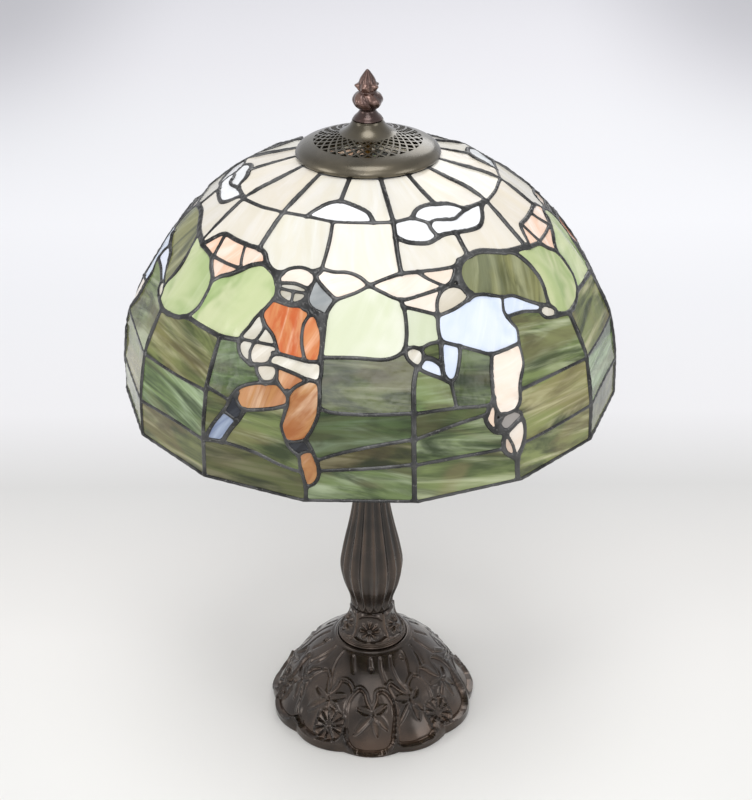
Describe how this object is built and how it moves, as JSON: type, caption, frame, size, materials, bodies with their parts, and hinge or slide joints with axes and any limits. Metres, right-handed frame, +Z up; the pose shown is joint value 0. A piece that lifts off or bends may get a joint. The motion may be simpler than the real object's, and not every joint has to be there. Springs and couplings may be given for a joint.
{
  "type": "stained glass table lamp",
  "caption": "Table lamp with a leaded glass dome shade on a cast lily-pad foot and fluted stem, with two lamp holders, pull chains, a pierced vented cap and a finial.",
  "frame": {"origin": "centre of the felt pad's underside, on the surface the lamp stands on", "axes": "+Z up along the stem, -Y the front of the shade's picture, +X to the right seen from the front"},
  "size_m": [0.4049, 0.4041, 0.596],
  "materials": {
    "foot_bronze": "dark bronze patina with rubbed highlights, satin",
    "cap_bronze": "olive bronze patina on spun sheet, satin",
    "finial_bronze": "reddish bronze lacquer, semi-gloss",
    "brass": "antique brass, satin",
    "steel": "zinc plated",
    "iron": "raw casting",
    "felt": "felt",
    "black_plastic": "moulded",
    "solder": "copper foil and solder with a dark patina",
    "field_glass": "streaky opalescent sheet, green",
    "sky_glass": "opalescent sheet, cream and white",
    "bulb_glass": "frosted"
  },
  "bodies": {
    "root": {"felt_pad": "felt", "base_weight": "iron", "base_washer": "steel", "base_nut": "steel", "foot_casting": "foot_bronze", "cord_inlet": "black_plastic", "stem_collar": "foot_bronze", "stem_vase": "foot_bronze", "stem_cap": "foot_bronze", "main_pipe": "steel", "cluster_body": "brass", "socket_cap_left": "brass", "socket_cap_right": "brass", "socket_shell_left": "brass", "socket_shell_right": "brass", "socket_core_left": "black_plastic", "socket_core_right": "black_plastic", "riser_rod": "steel", "shade_seat": "brass"},
    "shade": {"came_lattice": "solder", "shade_spider": "brass", "vented_cap": "cap_bronze", "field_panel_01": "field_glass", "field_panel_02": "field_glass", "field_panel_03": "field_glass", "field_panel_04": "field_glass", "field_panel_05": "field_glass", "field_panel_06": "field_glass", "field_panel_07": "field_glass", "field_panel_08": "field_glass", "field_panel_09": "field_glass", "field_panel_10": "field_glass", "field_panel_11": "field_glass", "field_panel_12": "field_glass", "field_panel_13": "field_glass", "field_panel_14": "field_glass", "field_panel_15": "field_glass", "sky_panel_01": "sky_glass", "sky_panel_02": "sky_glass", "sky_panel_03": "sky_glass", "sky_panel_04": "sky_glass", "sky_panel_05": "sky_glass", "sky_panel_06": "sky_glass", "sky_panel_07": "sky_glass", "sky_panel_08": "sky_glass", "sky_panel_09": "sky_glass", "sky_panel_10": "sky_glass", "sky_panel_11": "sky_glass", "sky_panel_12": "sky_glass", "sky_panel_13": "sky_glass", "sky_panel_14": "sky_glass", "sky_panel_15": "sky_glass"},
    "finial": {"finial": "finial_bronze"},
    "bulb_left": {"bulb_base_left": "brass", "bulb_glass_left": "bulb_glass"},
    "bulb_right": {"bulb_base_right": "brass", "bulb_glass_right": "bulb_glass"},
    "pull_chain_left": {"pull_chain_left": "brass"},
    "pull_chain_right": {"pull_chain_right": "brass"}
  },
  "joints": [
    {"name": "shade_turn", "type": "hinge", "parent": "root", "child": "shade", "pos_m": [0, 0, 0.5195], "axis": [0, 0, 1], "continuous": true},
    {"name": "finial_unscrew", "type": "hinge", "parent": "root", "child": "finial", "pos_m": [0, 0, 0.5567], "axis": [0, 0, 1], "continuous": true},
    {"name": "bulb_left_unscrew", "type": "hinge", "parent": "root", "child": "bulb_left", "pos_m": [0, 0, 0.33], "axis": [-0.766, 0, 0.6428], "continuous": true},
    {"name": "bulb_right_unscrew", "type": "hinge", "parent": "root", "child": "bulb_right", "pos_m": [0, 0, 0.33], "axis": [0.766, 0, 0.6428], "continuous": true},
    {"name": "chain_left_pull", "type": "slide", "parent": "root", "child": "pull_chain_left", "axis": [0, 0, -1], "range_m": [0, 0.012], "stiffness_N_per_m": 400, "springref_m": -0.003},
    {"name": "chain_right_pull", "type": "slide", "parent": "root", "child": "pull_chain_right", "axis": [0, 0, -1], "range_m": [0, 0.012], "stiffness_N_per_m": 400, "springref_m": -0.003}
  ]
}
